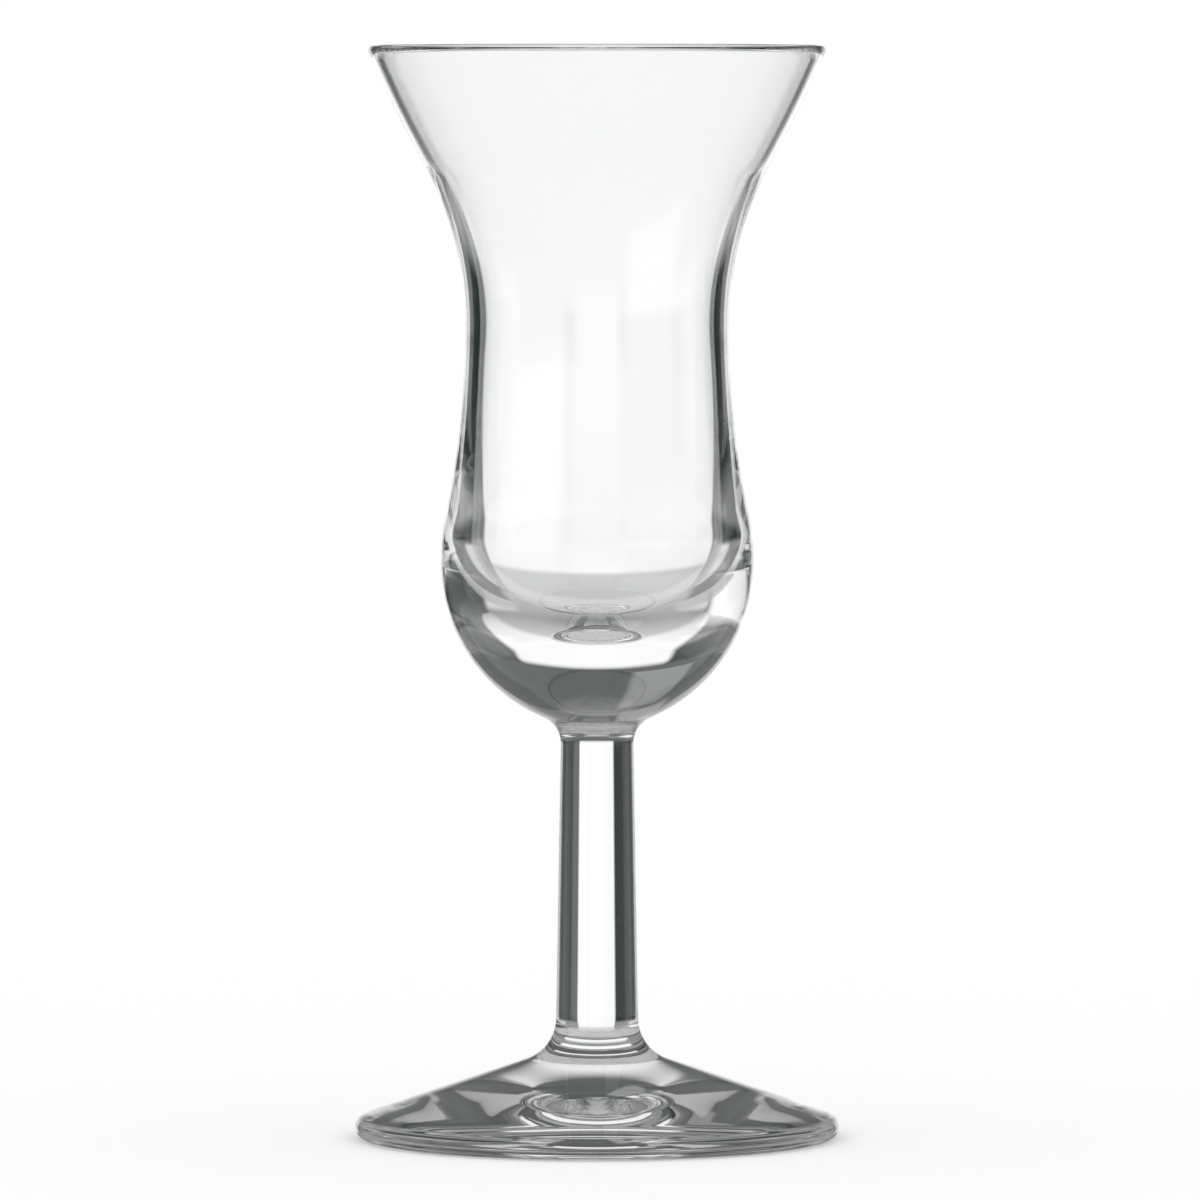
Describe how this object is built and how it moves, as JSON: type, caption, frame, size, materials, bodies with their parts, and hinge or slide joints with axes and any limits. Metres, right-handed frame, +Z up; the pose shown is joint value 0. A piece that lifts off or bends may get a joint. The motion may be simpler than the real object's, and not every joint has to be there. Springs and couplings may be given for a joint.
{
  "type": "jenever glass",
  "caption": "Small stemmed spirit glass with a waisted tulip bowl that flares to a thin rim, a thick solid bowl base, a plain round stem and a shallow conical foot.",
  "frame": {"origin": "on the table, under the middle of the foot", "axes": "+Z up along the axis of the stem; the glass is round, so X and Y are free, and the picture looks along +Y with +X to the right"},
  "size_m": [0.051, 0.051, 0.115],
  "materials": {
    "clear_glass": "clear, fire-polished"
  },
  "bodies": {
    "root": {"foot": "clear_glass", "stem": "clear_glass", "bowl": "clear_glass"}
  },
  "joints": []
}
